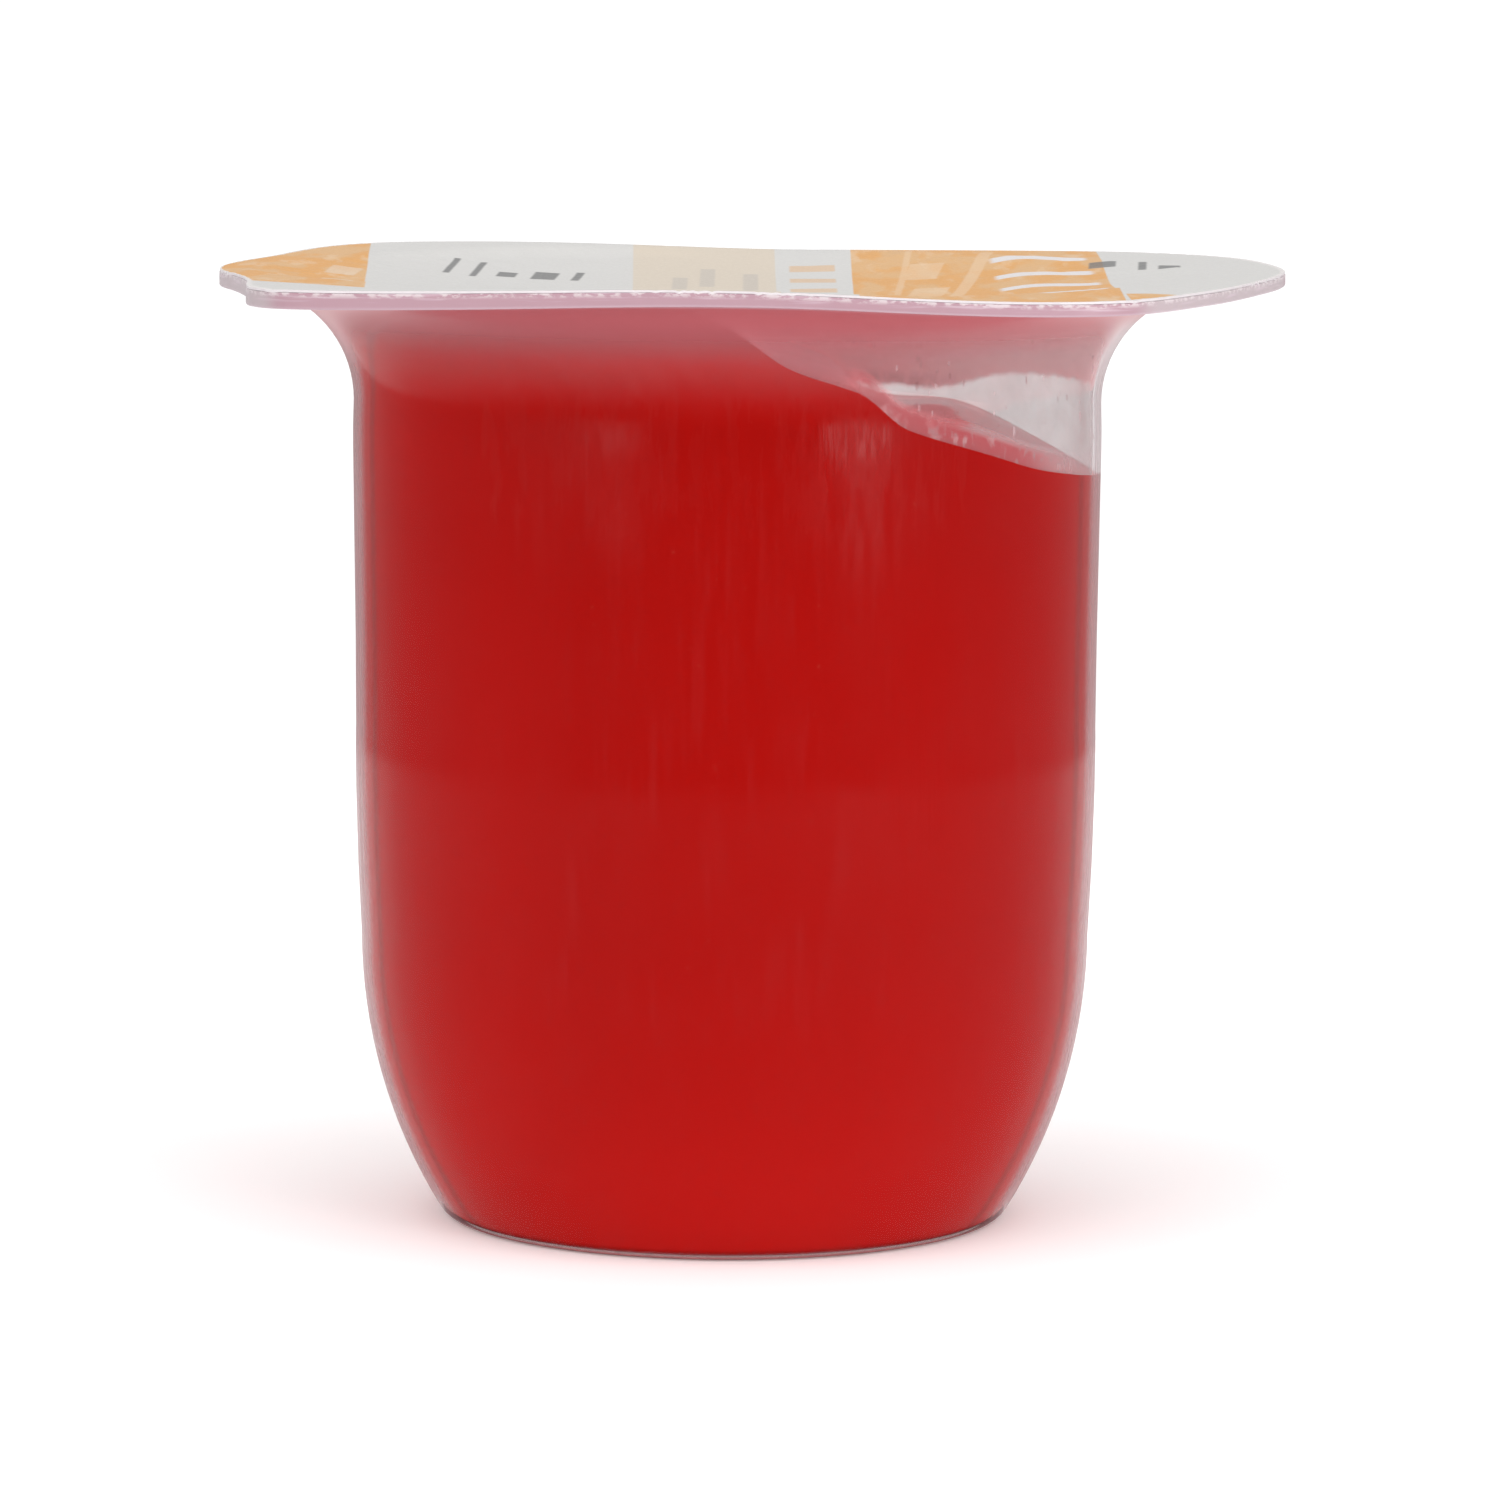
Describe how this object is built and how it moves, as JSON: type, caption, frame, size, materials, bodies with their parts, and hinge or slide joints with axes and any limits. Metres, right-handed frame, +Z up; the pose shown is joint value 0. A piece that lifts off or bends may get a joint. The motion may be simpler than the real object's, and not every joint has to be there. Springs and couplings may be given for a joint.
{
  "type": "gelled water cup",
  "caption": "Shut portion cup of set red jelly: a turned translucent pot with a curved-in foot, a flared mouth, a wide flange and a sealed film lid.",
  "frame": {"origin": "centre of the flat base, on the surface the cup stands on", "axes": "+Z up, +X along the longer side of the flange and to the right of the picture, -Y towards the camera"},
  "size_m": [0.0767, 0.073, 0.0681],
  "materials": {
    "cup": "thin translucent plastic with a slight milky haze",
    "jelly": "set red jelly, wet and glossy",
    "lid": "pale grey sealed film with plain printed fields of orange and cream"
  },
  "bodies": {
    "root": {"cup": "cup", "jelly": "jelly", "lid": "lid"}
  },
  "joints": []
}
